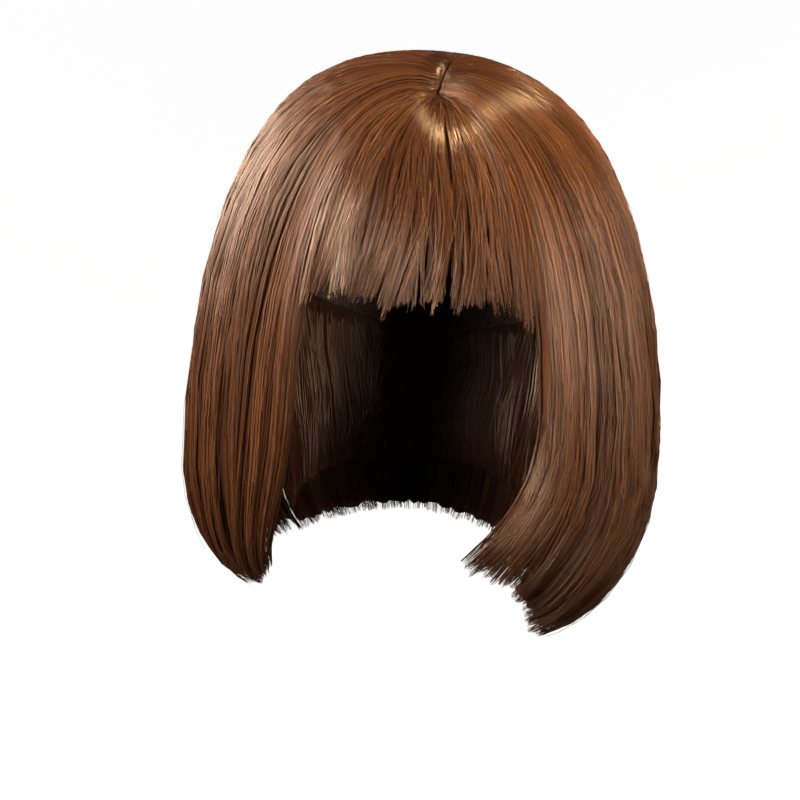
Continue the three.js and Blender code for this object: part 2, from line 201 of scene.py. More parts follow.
def root_point(place):
    """The outline of the roots: 0 to 1 round the front end, then the left edge, back and right."""
    place = np.mod(place, 4)
    t = np.mod(place, 1)
    stretch = np.floor(place)
    turn = np.where(stretch == 2, math.pi * (1 + t), math.pi * t)
    end_y = np.where(stretch == 2, PARTING_BACK, PARTING_FRONT)
    end_x = PARTING_SIDE - PARTING_HALF_GAP * np.cos(turn)
    end_y = end_y - PARTING_HALF_GAP * np.sin(turn)
    side = np.where(stretch == 1, 1, -1) * PARTING_HALF_GAP
    ahead = np.where(stretch == 1, t, 1 - t)
    at_end = (stretch == 0) | (stretch == 2)
    x = np.where(at_end, end_x, PARTING_SIDE + side)
    y = np.where(at_end, end_y, lerp(PARTING_FRONT, PARTING_BACK, ahead))
    return np.stack([x, y, np.zeros_like(x)], -1)


DOME_SHARE = 0.62  # how much of a long strand's length lies above its widest level
ROOT_CROWDING = 1.6  # how much its points crowd towards the root


def long_course(along):
    over = np.clip(along / DOME_SHARE, 0, 1) ** ROOT_CROWDING
    below = np.clip((along - DOME_SHARE) / (1 - DOME_SHARE), 0, 1)
    return over + below


def long_path(roots, azimuths, sweeps):
    def path(u, v):
        root = root_point(lerp(*roots, u))
        return strand_point(root, lerp(*azimuths, u), long_course(v), 0, lerp(*sweeps, u))

    return path


def fringe_path(roots, azimuths, sweep):
    def path(u, v):
        root = root_point(lerp(*roots, u))
        azimuth = lerp(*azimuths, u)
        form = hair_form(azimuth)
        z = CROWN_RISE - table_value(FRINGE_EDGE, "across", "drop", u) * FRINGE_DROP
        last = np.arccos((z - form.widest) / (CROWN_RISE - form.widest)) / (math.pi / 2)
        dome_sweep = sweep * 4 * u * (1 - u)
        return strand_point(root, azimuth, v**ROOT_CROWDING * last, dome_sweep, 0)

    return path


def head_point(azimuth, angle, extra):
    """A point on the head's form, made bigger by extra, seen from the middle of the head."""
    turn = np.radians(azimuth)
    x, y = np.sin(turn) * np.sin(angle), -np.cos(turn) * np.sin(angle)
    z = np.cos(angle)
    plan = (np.abs(x) / (HEAD_HALF_WIDTH + extra)) ** PLAN_POWER
    plan = plan + (np.abs(y) / (HEAD_HALF_LENGTH + extra)) ** PLAN_POWER
    height = np.where(z > 0, CROWN_TO_WIDEST + extra, WIDEST_TO_BASE + extra)
    reach = plan ** (HEAD_POWER / PLAN_POWER) + (np.abs(z) / height) ** HEAD_POWER
    reach = reach ** (-1 / HEAD_POWER)
    return np.stack([x * reach, y * reach, z * reach - CROWN_TO_WIDEST], -1)


def nape_path(azimuths):
    def path(u, v):
        azimuth = lerp(*azimuths, u)
        edge = np.radians(table_value(CAP_EDGE, "azimuth", "angle", azimuth) - NAPE_SEAM)
        top = head_point(azimuth, edge, CAP_OUTSIDE + NAPE_THICKNESS)
        tip = table_value(FORM, "azimuth", "tip", azimuth)
        bottom = CROWN_RISE - NAPE_DROP * tip * LONGEST_DROP
        radius = np.hypot(top[..., 0], top[..., 1])
        radius = radius - NAPE_TUCK * ease(v, 0.1, 1)
        return polar(radius, azimuth, lerp(top[..., 2], bottom, v))

    return path


# Each section of the hair: its path, how many locks and strands it has, how long it is, how far
# its ends are cut unevenly and its locks to a point, how its locks and wisps gather towards their
# tips, how far the locks rise and wander, the share of its strands that lies deep, and how much
# lighter or darker its tone is. Deep strands are painted darker as shade, and the nape layer, which
# lies under the rest, has a darker tone as painted shade. Its packed hair ends at core.
SECTIONS = (
    SimpleNamespace(
        node="fringe", path=fringe_path((0.1, 0.9), (-38, 47), -7), locks=13, strands=1800,
        length=114, ragged=7, pointed=0.5, gather=0.12, wisp=0.1, lift=1.3, wander=0.045, deep=0.25,
        tone=0.04, core=0.8,
    ),
    SimpleNamespace(
        node="front_lock_left", path=long_path((0.9, 1.15), (47, 61), (-28, -12)), locks=4,
        strands=1000, length=345, ragged=26, pointed=0.3, gather=0.08, wisp=0.08, lift=3,
        wander=0.08, deep=0.35, tone=0.05, core=0.66,
    ),
    SimpleNamespace(
        node="side_left", path=long_path((1.15, 2.1), (61, 128), (-15, 0)), locks=10,
        strands=1650, length=350, ragged=9, pointed=0.6, gather=0.12, wisp=0.05, lift=3,
        wander=0.05, deep=0.2, tone=0, core=0.96,
    ),
    SimpleNamespace(
        node="back", path=long_path((2.1, 2.9), (128, 232), (0, 0)), locks=14, strands=1600,
        length=340, ragged=4, pointed=0.2, gather=0.04, wisp=0.03, lift=2.6, wander=0.028, deep=0.2,
        tone=0, core=0.985,
    ),
    SimpleNamespace(
        node="side_right", path=long_path((2.9, 3.85), (232, 302), (0, -8)), locks=10,
        strands=1650, length=350, ragged=9, pointed=0.6, gather=0.12, wisp=0.05, lift=3,
        wander=0.05, deep=0.2, tone=0, core=0.96,
    ),
    SimpleNamespace(
        node="front_lock_right", path=long_path((3.85, 4.1), (302, 322), (-8, -20)), locks=4,
        strands=720, length=345, ragged=16, pointed=0.4, gather=0.12, wisp=0.08, lift=3,
        wander=0.07, deep=0.35, tone=0.02, core=0.76,
    ),
    # The nape layer lies under the rest of the hair; its tone of -0.25 is painted shade.
    SimpleNamespace(
        node="nape_layer", path=nape_path((82, 278)), locks=16, strands=850, length=150,
        ragged=8, pointed=0.2, gather=0.05, wisp=0.05, lift=0.8, wander=0.02, deep=0.5, tone=-0.25,
        core=0.97,
    ),
)


def path_frame(path, u, v):
    """Points of a path, and the direction straight out of the hair there."""
    step = 1e-3
    u, v = np.clip(u, step, 1 - step), np.clip(v, step, 1 - step)
    across = path(u + step, v) - path(u - step, v)
    onward = path(u, v + step) - path(u, v - step)
    normal = np.cross(onward, across)
    length = np.linalg.norm(normal, axis=-1, keepdims=True)
    return path(u, v), normal / np.maximum(length, 1e-9)


def smooth_noise(rng, rows, v, waves):
    """A smooth random course for each row, near -1 to 1, with this many waves along it."""
    phase = rng.uniform(0, 2 * math.pi, (rows, 3))
    total = 0
    for k, share in enumerate((0.6, 0.3, 0.2)):
        rate = waves * (0.6 + 0.7 * k) * 2 * math.pi
        total = total + share * np.sin(v * rate + phase[:, k, None])
    return total


def parcels(rng, number, place):
    """Parts the width of a section unevenly: each place's parcel, its middle and the offset."""
    borders = np.concatenate([[0], np.cumsum(rng.uniform(0.5, 1.5, number))])
    borders = borders / borders[-1]
    which = np.clip(np.searchsorted(borders, place) - 1, 0, number - 1)
    middle = ((borders[:-1] + borders[1:]) / 2)[which]
    half = ((borders[1:] - borders[:-1]) / 2)[which]
    return which, middle, (place - middle) / half


WISPS_TO_A_LOCK = 6
LOCK_OVERLAP = 1.4
WISP_LIFT = 0.4
STRAYS = 0.045  # share of the strands that lie loosely across the others
STRAY_RISE = 3.5
STRAY_DRIFT = 1.5  # how far strays and the other strands drift, in shares of the locks' drift
OWN_DRIFT = 0.16
STAGGER = 0.45  # how far the points of one wisp lie from its neighbour's, in steps
ROOT_SINK = 4
WHOLE_LENGTH = 350  # of the longest strands
NAPE_PACKED = (1.4, 2.4)  # where the nape's packed hair begins and ends below its outside
PACKED_SHARE = 0.75
PACKED_THICKEST = 13
PACKED_BELOW = 1.3
PACKED_TIP = 1.2
# Shares along a strand of its points: close together where it leaves the parting
LONG_STEPS = (
    0, 0.006, 0.02, 0.045, 0.08, 0.12, 0.165, 0.21, 0.26, 0.31,
    0.37, 0.43, 0.5, 0.58, 0.67, 0.75, 0.82, 0.88, 0.94, 1,
)
SHORT_STEPS = (0, 0.02, 0.06, 0.14, 0.26, 0.4, 0.55, 0.7, 0.85, 1)


def packed_depths(section, azimuth, v):
    """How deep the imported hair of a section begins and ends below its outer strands."""
    if section.node == "nape_layer":
        begins, ends = NAPE_PACKED
        return np.full(np.shape(v), begins), np.full(np.shape(v), ends)
    full = np.minimum(hair_form(azimuth).thickness * PACKED_SHARE, PACKED_THICKEST)
    top = np.full(np.shape(v), section.lift + PACKED_BELOW)
    return top, np.maximum(lerp(full, top + PACKED_TIP, ease(v, 0.5, 1)), top + 1)


def section_strands(section, settings):
    """The strands of one section, from root to tip: places, girths, tones and shares along."""
    rng = np.random.default_rng(settings.seed + sum(map(ord, section.node)))
    nape = section.node == "nape_layer"
    steps = np.array(LONG_STEPS if section.length > 200 else SHORT_STEPS)
    count = section.strands
    place = (np.arange(count) + rng.uniform(0, 1, count)) / count
    lock, lock_middle, lock_offset = parcels(rng, section.locks, place)
    wisps = section.locks * WISPS_TO_A_LOCK
    wisp, wisp_middle, wisp_offset = parcels(rng, wisps, place)
    stray = rng.uniform(0, 1, (count, 1)) < STRAYS

    short = rng.uniform(0, 0.5, section.locks)[lock] + rng.uniform(0, 0.7, wisps)[wisp]
    short = short + rng.exponential(0.5, count) + section.pointed * lock_offset**2
    short = short * section.ragged
    cut = 1 - np.clip(short, 0, section.length / 3) / section.length
    shift = rng.uniform(-STAGGER, STAGGER, wisps)[wisp][:, None]
    shift = shift * np.gradient(steps) * ease(steps, 0, 0.2)
    shift[:, -1] = 0
    v = (steps + shift) * lerp(1, cut[:, None], ease(steps, 0.4, 1)[None, :])

    grid = np.linspace(0, 1, 64)

    def course(number, waves, of):
        """The smooth course of each strand's parcel, read at the strand's own shares along."""
        rows = smooth_noise(rng, number, grid[None, :], waves)
        return np.stack([np.interp(v[i], grid, rows[of[i]]) for i in range(count)])

    grown = ease(v, 0.1, 0.5)
    own = smooth_noise(rng, count, v, 0.8) * np.where(stray, STRAY_DRIFT, OWN_DRIFT)
    spread = lerp(1, LOCK_OVERLAP, grown)
    gather = section.gather * rng.uniform(0.2, 1.8, section.locks)[lock][:, None] * ease(v, 0.5, 1)
    wisp_gather = section.wisp * rng.uniform(0.2, 1.5, wisps)[wisp][:, None] * ease(v, 0.05, 0.7)
    u = place[:, None] + (wisp_middle - place)[:, None] * wisp_gather
    u = lock_middle[:, None] + (u - lock_middle[:, None]) * spread * (1 - gather)
    drift = course(section.locks, 0.9, lock) + 0.25 * course(wisps, 1.4, wisp) + own
    u = np.clip(u + section.wander * drift * grown, 0.002, 0.998)

    point, normal = path_frame(section.path, u, v)
    azimuth = azimuth_of(point[..., 0], point[..., 1])
    deep = rng.uniform(0, 1, (count, 1)) < section.deep
    depth = rng.exponential(0.8, (count, 1)) * ease(v, 0, 0.12)
    raised = 0.45 * course(section.locks, 1, lock) + 0.12 * course(wisps, 1.6, wisp)
    relief = lock_offset[:, None] ** 2 - raised - 0.2
    depth = depth + (section.lift * relief + WISP_LIFT * wisp_offset[:, None] ** 2) * grown
    risen = np.where(stray, rng.uniform(0, STRAY_RISE, (count, 1)), 0)
    depth = depth - risen * ease(v, 0.3, 1)
    under = packed_depths(section, azimuth, v)[1] + rng.uniform(-0.3, 1.2, (count, 1))
    depth = np.where(deep, lerp(depth, under, ease(v, 0.05, 0.2)), depth)
    if not nape:
        away = np.linalg.norm((point - point[:, :1])[..., :2], axis=-1)
        near = np.exp(-((away / DIP_REACH) ** 2))
        depth = depth + (PARTING_DIP + rng.uniform(-1, 1.5, (count, 1))) * near
        depth[:, 0] += ROOT_SINK
        start = point[:, 0] - point[:, 1]
        start = start / np.linalg.norm(start, axis=-1, keepdims=True)
        point[:, :2] += start[:, None] * rng.uniform(-0.4, 1.2, (count, 1, 1))
    girth = lerp(0.8, 1, ease(v, 0, 0.2)) * lerp(1, 0.3, ease(steps, 0.75, 1))
    girth = girth * rng.uniform(0.7, 1.25, (count, 1))
    girth = girth * np.where(stray, 0.6, 1) * np.where(deep, 1.2, 1)
    tone = 0.5 + 0.12 * rng.standard_normal(count) + 0.06 * rng.standard_normal(wisps)[wisp]
    tone = tone + 0.05 * rng.standard_normal(section.locks)[lock]
    # Strands that lie deep, under the others, are painted darker as shade, and the raised strays
    # lighter as painted light.
    tone = tone + section.tone - np.where(deep, 0.2, 0)[:, 0] + np.where(stray, 0.2, 0)[:, 0]
    along = v * section.length / WHOLE_LENGTH
    return point - normal * depth[..., None], girth, np.clip(tone, 0.02, 0.98), along


def strand_lines(name, strands):
    """One mesh of loose edges, a line for each strand, with its girth, tone and share along."""
    place, girth, tone, along = strands
    count, points = girth.shape
    mesh = bpy.data.meshes.new(name)
    mesh.vertices.add(count * points)
    mesh.vertices.foreach_set("co", (place * MM).astype(np.float32).ravel())
    first = np.arange(count * points).reshape(count, points)
    edges = np.stack([first[:, :-1], first[:, 1:]], -1)
    mesh.edges.add(edges.size // 2)
    mesh.edges.foreach_set("vertices", edges.astype(np.int32).ravel())
    columns = {"girth": girth, "tone": np.repeat(tone[:, None], points, 1), "along": along}
    for label, values in columns.items():
        layer = mesh.attributes.new(label, "FLOAT", "POINT")
        layer.data.foreach_set("value", values.astype(np.float32).ravel())
    mesh.update()
    return mesh


TONE_WIDTH = 0.004  # how much of the tone's scale one strand takes across its map
TONE_APART = 900.0  # how far strands of different tones lie apart in the frizz


def strand_tree():
    """Turns lines into closed strands with a map: tone across it and the share along it up."""
    tree = bpy.data.node_groups.new("hair strands", "GeometryNodeTree")
    face = tree.interface
    face.new_socket("Geometry", in_out="INPUT", socket_type="NodeSocketGeometry")
    sockets = (
        ("Strand Width", "NodeSocketFloat", 0.0006),
        ("Sides", "NodeSocketInt", 3),
        ("Frizz", "NodeSocketFloat", 0.0001),
        ("Frizz Scale", "NodeSocketFloat", 30.0),
        ("Seed", "NodeSocketInt", 5),
        ("Hair", "NodeSocketMaterial", None),
    )
    for label, kind, value in sockets:
        socket = face.new_socket(label, in_out="INPUT", socket_type=kind)
        if value is not None:
            socket.default_value = value
    face.new_socket("Geometry", in_out="OUTPUT", socket_type="NodeSocketGeometry")
    nodes, link = tree.nodes, tree.links.new
    start = nodes.new("NodeGroupInput")
    end = nodes.new("NodeGroupOutput")

    def named(label):
        node = nodes.new("GeometryNodeInputNamedAttribute")
        node.data_type = "FLOAT"
        node.inputs["Name"].default_value = label
        return node.outputs["Attribute"]

    def arithmetic(operation, *values):
        node = nodes.new("ShaderNodeMath")
        node.operation = operation
        for socket, value in zip(node.inputs, values):
            if isinstance(value, (int, float)):
                socket.default_value = value
            else:
                link(value, socket)
        return node.outputs["Value"]

    wave = nodes.new("ShaderNodeTexNoise")
    wave.noise_dimensions = "4D"
    wave.inputs["Detail"].default_value = 1.0
    link(start.outputs["Frizz Scale"], wave.inputs["Scale"])
    apart = arithmetic("MULTIPLY_ADD", named("tone"), TONE_APART, start.outputs["Seed"])
    link(apart, wave.inputs["W"])
    centred = nodes.new("ShaderNodeVectorMath")
    centred.operation = "SUBTRACT"
    centred.inputs[1].default_value = (0.5, 0.5, 0.5)
    link(wave.outputs["Color"], centred.inputs[0])
    sized = nodes.new("ShaderNodeVectorMath")
    sized.operation = "SCALE"
    link(centred.outputs["Vector"], sized.inputs[0])
    reach = arithmetic("MULTIPLY", start.outputs["Frizz"], named("along"))
    link(arithmetic("MULTIPLY", reach, 4.0), sized.inputs["Scale"])
    moved = nodes.new("GeometryNodeSetPosition")
    link(start.outputs["Geometry"], moved.inputs["Geometry"])
    link(sized.outputs["Vector"], moved.inputs["Offset"])

    line = nodes.new("GeometryNodeMeshToCurve")
    link(moved.outputs["Geometry"], line.inputs["Mesh"])
    ring = nodes.new("GeometryNodeCurvePrimitiveCircle")
    link(start.outputs["Sides"], ring.inputs["Resolution"])
    link(arithmetic("MULTIPLY", start.outputs["Strand Width"], 0.5), ring.inputs["Radius"])
    around = nodes.new("GeometryNodeStoreNamedAttribute")
    around.data_type = "FLOAT"
    around.domain = "POINT"
    around.inputs["Name"].default_value = "around"
    spline = nodes.new("GeometryNodeSplineParameter")
    link(ring.outputs["Curve"], around.inputs["Geometry"])
    link(spline.outputs["Factor"], around.inputs["Value"])
    tube = nodes.new("GeometryNodeCurveToMesh")
    tube.inputs["Fill Caps"].default_value = True
    link(line.outputs["Curve"], tube.inputs["Curve"])
    link(around.outputs["Geometry"], tube.inputs["Profile Curve"])
    link(named("girth"), tube.inputs["Scale"])

    map_point = nodes.new("ShaderNodeCombineXYZ")
    beside = arithmetic("MULTIPLY", named("around"), TONE_WIDTH)
    link(arithmetic("ADD", named("tone"), beside), map_point.inputs["X"])
    link(named("along"), map_point.inputs["Y"])
    mapped = nodes.new("GeometryNodeStoreNamedAttribute")
    mapped.data_type = "FLOAT2"
    mapped.domain = "CORNER"
    mapped.inputs["Name"].default_value = "OFBake"
    link(tube.outputs["Mesh"], mapped.inputs["Geometry"])
    link(map_point.outputs["Vector"], mapped.inputs["Value"])
    smooth = nodes.new("GeometryNodeSetShadeSmooth")
    link(mapped.outputs["Geometry"], smooth.inputs["Geometry"])
    real = nodes.new("GeometryNodeRealizeInstances")
    link(smooth.outputs["Geometry"], real.inputs["Geometry"])
    finish = nodes.new("GeometryNodeSetMaterial")
    link(real.outputs["Geometry"], finish.inputs["Geometry"])
    link(start.outputs["Hair"], finish.inputs["Material"])
    link(finish.outputs["Geometry"], end.inputs["Geometry"])
    return tree


def grown_strands(name, strands, settings, material):
    """Runs the strand tree over the lines and keeps the result as a plain mesh."""
    tree = bpy.data.node_groups.get("hair strands") or strand_tree()
    lines = bpy.data.objects.new(name + "_lines", strand_lines(name + "_lines", strands))
    bpy.context.scene.collection.objects.link(lines)
    modifier = lines.modifiers.new("hair strands", "NODES")
    modifier.node_group = tree
    values = {
        "Strand Width": settings.width,
        "Frizz": settings.frizz,
        "Seed": settings.seed,
        "Hair": material,
    }
    for item in tree.interface.items_tree:
        if item.in_out == "INPUT" and item.name in values:
            modifier[item.identifier] = values[item.name]
    depsgraph = bpy.context.evaluated_depsgraph_get()
    mesh = bpy.data.meshes.new_from_object(lines.evaluated_get(depsgraph))
    bpy.data.objects.remove(lines)
    mesh.name = name
    for label in ("girth", "around", "tone", "along"):
        if label in mesh.attributes:
            mesh.attributes.remove(mesh.attributes[label])
    piece = bpy.data.objects.new(name, mesh)
    bpy.context.scene.collection.objects.link(piece)
    return piece


def sheet_mesh(name, outside, inside):
    """One closed mesh between two grids of points, with a map that keeps both sides apart."""
    columns, rows = outside.shape[:2]
    points = np.concatenate([outside.reshape(-1, 3), inside.reshape(-1, 3)]) * MM
    faces = []
    out = lambda i, j: i * rows + j
    inn = lambda i, j: columns * rows + i * rows + j
    for i in range(columns - 1):
        for j in range(rows - 1):
            faces.append((out(i, j), out(i, j + 1), out(i + 1, j + 1), out(i + 1, j)))
            faces.append((inn(i, j), inn(i + 1, j), inn(i + 1, j + 1), inn(i, j + 1)))
        faces.append((out(i, 0), out(i + 1, 0), inn(i + 1, 0), inn(i, 0)))
        last = rows - 1
        faces.append((out(i + 1, last), out(i, last), inn(i, last), inn(i + 1, last)))
    for j in range(rows - 1):
        faces.append((out(0, j + 1), out(0, j), inn(0, j), inn(0, j + 1)))
        c = columns - 1
        faces.append((out(c, j), out(c, j + 1), inn(c, j + 1), inn(c, j)))
    mesh = bpy.data.meshes.new(name)
    mesh.from_pydata(points.tolist(), [], faces)
    across = np.repeat(np.linspace(0, 1, columns), rows)
    along = np.tile(np.linspace(0, 1, rows), columns)
    u = np.concatenate([across, across])
    v = np.concatenate([0.02 + 0.46 * along, 0.52 + 0.46 * along])
    corner = np.empty(len(mesh.loops), np.int32)
    mesh.loops.foreach_get("vertex_index", corner)
    layer = mesh.uv_layers.new(name="OFBake")
    layer.data.foreach_set("uv", np.stack([u[corner], v[corner]], -1).astype(np.float32).ravel())
    mesh.polygons.foreach_set("use_smooth", np.ones(len(mesh.polygons), bool))
    mesh.update()
    return mesh


PACKED_COLUMNS = 60
PACKED_ROWS = 26
PACKED_RAGGED = 0.02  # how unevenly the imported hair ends, as a share of its length


def under_hair(section, material):
    """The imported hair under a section's outer strands, which closes the view into it."""
    columns, rows = PACKED_COLUMNS, PACKED_ROWS
    rng = np.random.default_rng(sum(map(ord, section.node)))
    edge = 0.06 if section.node.startswith("front") else 0.01
    u = np.repeat(np.linspace(edge, 1 - edge, columns)[:, None], rows, 1)
    ends = section.core * (1 - rng.uniform(0, PACKED_RAGGED, (columns, 1)))
    v = np.linspace(0, 1, rows)[None, :] * ends
    point, normal = path_frame(section.path, u, v)
    top, bottom = packed_depths(section, azimuth_of(point[..., 0], point[..., 1]), v)
    bottom = lerp(bottom, top + 0.2, ease(v, 0.8 * section.core, section.core))
    if section.node != "nape_layer":
        away = np.linalg.norm((point - point[:, :1])[..., :2], axis=-1)
        dip = PARTING_DIP * np.exp(-((away / DIP_REACH) ** 2))
        top, bottom = top + dip, bottom + dip
    outside = point - normal * top[..., None]
    inside = point - normal * bottom[..., None]
    name = section.node + "_under"
    piece = bpy.data.objects.new(name, sheet_mesh(name, outside, inside))
    piece.data.materials.append(material)
    bpy.context.scene.collection.objects.link(piece)
    return piece


def new_material(name):
    material = bpy.data.materials.new(name)
    material.use_nodes = True
    tree = material.node_tree
    return material, tree, tree.nodes["Principled BSDF"]


def colour_ramp(tree, factor, stops):
    ramp = tree.nodes.new("ShaderNodeValToRGB")
    for k, (position, colour) in enumerate(stops):
        stop = ramp.color_ramp.elements[k] if k < 2 else ramp.color_ramp.elements.new(position)
        stop.position = position
        stop.color = (*colour, 1)
    tree.links.new(factor, ramp.inputs["Fac"])
    return ramp.outputs["Color"]


def shade(colour, factor):
    return tuple(channel * factor for channel in colour)


def hair_material(settings):
    """Glossy fibre: tone across the map from dark to light, and painted shade that darkens it
    towards the tips.
    """
    material, tree, shader = new_material("hair fibre")
    link = tree.links.new
    uv = tree.nodes.new("ShaderNodeUVMap")
    uv.uv_map = "OFBake"
    split = tree.nodes.new("ShaderNodeSeparateXYZ")
    link(uv.outputs["UV"], split.inputs["Vector"])
    tone = colour_ramp(
        tree,
        split.outputs["X"],
        (
            (0.0, tuple(settings.dark_hair)),
            (1.0, tuple(settings.light_hair)),
            (0.5, tuple(settings.main_hair)),
        ),
    )
    stretch = tree.nodes.new("ShaderNodeMapping")
    stretch.inputs["Scale"].default_value = (180, 2.5, 1)
    link(uv.outputs["UV"], stretch.inputs["Vector"])
    streak = tree.nodes.new("ShaderNodeTexNoise")
    streak.inputs["Scale"].default_value = 1
    streak.inputs["Detail"].default_value = 2
    link(stretch.outputs["Vector"], streak.inputs["Vector"])
    stops = ((0.3, (0.84, 0.82, 0.8)), (0.7, (1.12, 1.12, 1.12)))
    depth = colour_ramp(tree, streak.outputs["Fac"], stops)
    mixed = tree.nodes.new("ShaderNodeMix")
    mixed.data_type = "RGBA"
    mixed.blend_type = "MULTIPLY"
    mixed.inputs["Factor"].default_value = 1
    link(tone, mixed.inputs["A"])
    link(depth, mixed.inputs["B"])
    # Painted shade: the hair darkens towards the tips, for the lower hair that the light from above
    # reaches less.
    ends = colour_ramp(tree, split.outputs["Y"], ((0.4, (1, 1, 1)), (1.0, (0.4, 0.36, 0.32))))
    shaded_to_tips = tree.nodes.new("ShaderNodeMix")
    shaded_to_tips.data_type = "RGBA"
    shaded_to_tips.blend_type = "MULTIPLY"
    shaded_to_tips.inputs["Factor"].default_value = 1
    link(mixed.outputs["Result"], shaded_to_tips.inputs["A"])
    link(ends, shaded_to_tips.inputs["B"])
    link(shaded_to_tips.outputs["Result"], shader.inputs["Base Color"])
    rough = tree.nodes.new("ShaderNodeMapRange")
    rough.inputs["To Min"].default_value = 0.18
    rough.inputs["To Max"].default_value = 0.31
    link(streak.outputs["Fac"], rough.inputs["Value"])
    link(rough.outputs["Result"], shader.inputs["Roughness"])
    shader.inputs["Specular IOR Level"].default_value = 0.3
    shader.inputs["Specular Tint"].default_value = (1, 0.74, 0.54, 1)
    return material


def under_material(settings):
    """Packed hair, painted dark as hair in shade: fine streaks along the section, in colour and in
    relief.
    """
    material, tree, shader = new_material("packed hair")
    link = tree.links.new
    uv = tree.nodes.new("ShaderNodeUVMap")
    uv.uv_map = "OFBake"
    stretch = tree.nodes.new("ShaderNodeMapping")
    stretch.inputs["Scale"].default_value = (90, 4, 1)
    link(uv.outputs["UV"], stretch.inputs["Vector"])
    streak = tree.nodes.new("ShaderNodeTexNoise")
    streak.inputs["Scale"].default_value = 1
    streak.inputs["Detail"].default_value = 4
    link(stretch.outputs["Vector"], streak.inputs["Vector"])
    # The packed hair's colour is painted shade, from the darkest strands' tone down to a third of
    # it.
    dark = tuple(settings.dark_hair)
    colour = colour_ramp(tree, streak.outputs["Fac"], ((0.3, shade(dark, 0.3)), (0.7, dark)))
    link(colour, shader.inputs["Base Color"])
    bump = tree.nodes.new("ShaderNodeBump")
    bump.inputs["Strength"].default_value = 0.6
    bump.inputs["Distance"].default_value = 0.0006
    link(streak.outputs["Fac"], bump.inputs["Height"])
    link(bump.outputs["Normal"], shader.inputs["Normal"])
    shader.inputs["Roughness"].default_value = 0.6
    shader.inputs["Specular IOR Level"].default_value = 0.1
    shader.inputs["Specular Tint"].default_value = (1, 0.7, 0.5, 1)
    return material


def net_material(settings):
    """Knitted cap net: a fine open mesh in colour and relief."""
    material, tree, shader = new_material("cap net")
    link = tree.links.new
    place = tree.nodes.new("ShaderNodeTexCoord")
    cells = tree.nodes.new("ShaderNodeTexVoronoi")
    cells.feature = "DISTANCE_TO_EDGE"
    cells.inputs["Scale"].default_value = 420
    link(place.outputs["Object"], cells.inputs["Vector"])
    colour = tuple(settings.cap_colour)
    # The threads take a lighter tone, and the holes between them are painted darker as the shade
    # seen through the open net.
    stops = ((0.08, shade(colour, 1.5)), (0.2, shade(colour, 0.4)))
    thread_and_hole_shade = colour_ramp(tree, cells.outputs["Distance"], stops)
    link(thread_and_hole_shade, shader.inputs["Base Color"])
    bump = tree.nodes.new("ShaderNodeBump")
    bump.invert = True
    bump.inputs["Strength"].default_value = 0.8
    bump.inputs["Distance"].default_value = 0.0008
    link(cells.outputs["Distance"], bump.inputs["Height"])
    link(bump.outputs["Normal"], shader.inputs["Normal"])
    shader.inputs["Roughness"].default_value = 0.9
    shader.inputs["Specular IOR Level"].default_value = 0.1
    return material


def parting_material(settings):
    """Skin-coloured lace with the dark dots of its knots."""
    material, tree, shader = new_material("parting lace")
    link = tree.links.new
    place = tree.nodes.new("ShaderNodeTexCoord")
    dots = tree.nodes.new("ShaderNodeTexVoronoi")
    dots.inputs["Scale"].default_value = 900
    link(place.outputs["Object"], dots.inputs["Vector"])
    colour = tuple(settings.parting_colour)
    knots = colour_ramp(tree, dots.outputs["Distance"], ((0.15, shade(colour, 0.3)), (0.4, colour)))
    link(knots, shader.inputs["Base Color"])
    bump = tree.nodes.new("ShaderNodeBump")
    bump.inputs["Strength"].default_value = 0.4
    bump.inputs["Distance"].default_value = 0.0003
    link(dots.outputs["Distance"], bump.inputs["Height"])
    link(bump.outputs["Normal"], shader.inputs["Normal"])
    shader.inputs["Roughness"].default_value = 0.7
    return material


class WigHair(bpy.types.PropertyGroup):
    """The fibre of the wig: its width, its colours and the number that its scatter starts from"""

    width: FloatProperty(
        name="Strand Width", description="Across one strand", default=0.00055, unit="LENGTH",
        precision=5,
    )
    frizz: FloatProperty(
        name="Frizz", description="How far a strand strays", default=0.00008, unit="LENGTH",
        precision=5,
    )
    seed: IntProperty(name="Seed", description="Where the scatter of the strands starts", default=5)
    main_hair: FloatVectorProperty(
        name="Main Hair", description="Middle tone of the hair", subtype="COLOR",
        default=(0.03, 0.0098, 0.0031),
    )
    dark_hair: FloatVectorProperty(
        name="Dark Hair", description="Darkest strands", subtype="COLOR",
        default=(0.012, 0.003, 0.001),
    )
    light_hair: FloatVectorProperty(
        name="Light Hair", description="Lightest strands", subtype="COLOR",
        default=(0.095, 0.037, 0.014),
    )


class WigCap(bpy.types.PropertyGroup):
    """The cap that carries the hair"""

    cap_colour: FloatVectorProperty(
        name="Cap Colour", description="Colour of the net", subtype="COLOR",
        default=(0.012, 0.007, 0.005),
    )
    parting_colour: FloatVectorProperty(
        name="Parting Colour", description="Colour of the parting's lace", subtype="COLOR",
        default=(0.2, 0.11, 0.07),
    )


